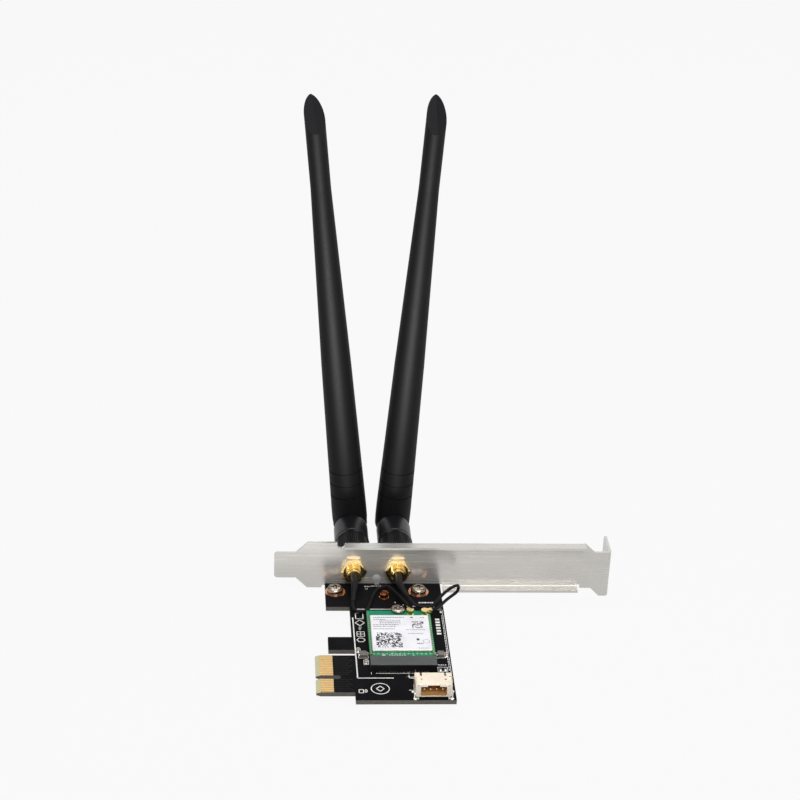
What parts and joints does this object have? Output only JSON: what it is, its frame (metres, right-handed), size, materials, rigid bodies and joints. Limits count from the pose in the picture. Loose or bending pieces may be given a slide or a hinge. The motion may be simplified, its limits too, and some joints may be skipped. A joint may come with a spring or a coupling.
{
  "type": "pcie wifi card",
  "caption": "Wireless network card for a desktop expansion slot: black board with plug-in radio module, folded steel slot bracket, gold coax jacks and long hinged black antennas.",
  "frame": {"origin": "axis of the retaining screw where it crosses the underside of the bracket's flange, the face that sits on the computer's case", "axes": "+X along the bracket from the slot tab to the flange, +Y out of the computer along the coax jacks, +Z away from the board's component side"},
  "size_m": [0.12, 0.1126, 0.1738],
  "materials": {
    "nickel_steel": "satin nickel plate",
    "solder_mask": "satin black mask",
    "gold_plate": "polished gold plate",
    "copper_plate": "bare copper",
    "bright_steel": "bright zinc",
    "tinned": "tinned",
    "socket_plastic": "moulded",
    "green_mask": "satin green mask",
    "shield_tin": "satin",
    "label_paper": "matt print film",
    "cable_jacket": "matt",
    "ptfe": "white",
    "ivory_nylon": "moulded",
    "chip_ceramic": "matt",
    "resistor_body": "glazed top",
    "ferrite": "matt",
    "lamp_resin": "clear resin",
    "antenna_plastic": "satin moulded"
  },
  "bodies": {
    "card": {"bracket": "nickel_steel", "pcb": "solder_mask", "edge_contacts": "gold_plate", "coax_jacks": "gold_plate", "header_pins": "gold_plate", "left_plug": "gold_plate", "left_sma_body": "gold_plate", "left_sma_pin": "gold_plate", "left_lock_washer": "gold_plate", "left_panel_nut": "gold_plate", "left_thread_insert": "gold_plate", "right_plug": "gold_plate", "right_sma_body": "gold_plate", "right_sma_pin": "gold_plate", "right_lock_washer": "gold_plate", "right_panel_nut": "gold_plate", "right_thread_insert": "gold_plate", "hole_plating": "copper_plate", "board_screws": "bright_steel", "m2_screw": "bright_steel", "m2_socket_tails": "tinned", "header_lugs": "tinned", "chip_terminals": "tinned", "m2_standoff": "tinned", "m2_socket": "socket_plastic", "module_board": "green_mask", "module_shield": "shield_tin", "module_label": "label_paper", "left_cable": "cable_jacket", "left_sleeve": "cable_jacket", "right_cable": "cable_jacket", "right_sleeve": "cable_jacket", "left_sma_insulator": "ptfe", "right_sma_insulator": "ptfe", "header_housing": "ivory_nylon", "chip_capacitors": "chip_ceramic", "chip_resistors": "resistor_body", "power_coils": "ferrite", "status_lamp": "lamp_resin", "left_collar": "antenna_plastic", "right_collar": "antenna_plastic"},
    "left_base": {"left_fork": "antenna_plastic", "left_plug_insulator": "ptfe", "left_plug_contact": "gold_plate", "left_pivots": "antenna_plastic"},
    "left_mast": {"left_mast": "antenna_plastic", "left_feed_coax": "cable_jacket", "left_balun": "copper_plate", "left_radiator": "copper_plate"},
    "right_base": {"right_fork": "antenna_plastic", "right_plug_insulator": "ptfe", "right_plug_contact": "gold_plate", "right_pivots": "antenna_plastic"},
    "right_mast": {"right_mast": "antenna_plastic", "right_feed_coax": "cable_jacket", "right_balun": "copper_plate", "right_radiator": "copper_plate"}
  },
  "joints": [
    {"name": "left_swivel", "type": "hinge", "parent": "card", "child": "left_base", "pos_m": [-0.09097, 0.0277, 0.00526], "axis": [0, 1, 0], "range_deg": [-174, 6]},
    {"name": "left_tilt", "type": "hinge", "parent": "left_base", "child": "left_mast", "pos_m": [-0.09097, 0.0277, 0.00526], "axis": [-0.9945, 0, -0.1045], "range_deg": [0, 90]},
    {"name": "right_swivel", "type": "hinge", "parent": "card", "child": "right_base", "pos_m": [-0.07532, 0.0277, 0.00526], "axis": [0, 1, 0], "range_deg": [-3.3, 176.7]},
    {"name": "right_tilt", "type": "hinge", "parent": "right_base", "child": "right_mast", "pos_m": [-0.07532, 0.0277, 0.00526], "axis": [-0.9983, 0, 0.0576], "range_deg": [0, 90]}
  ]
}
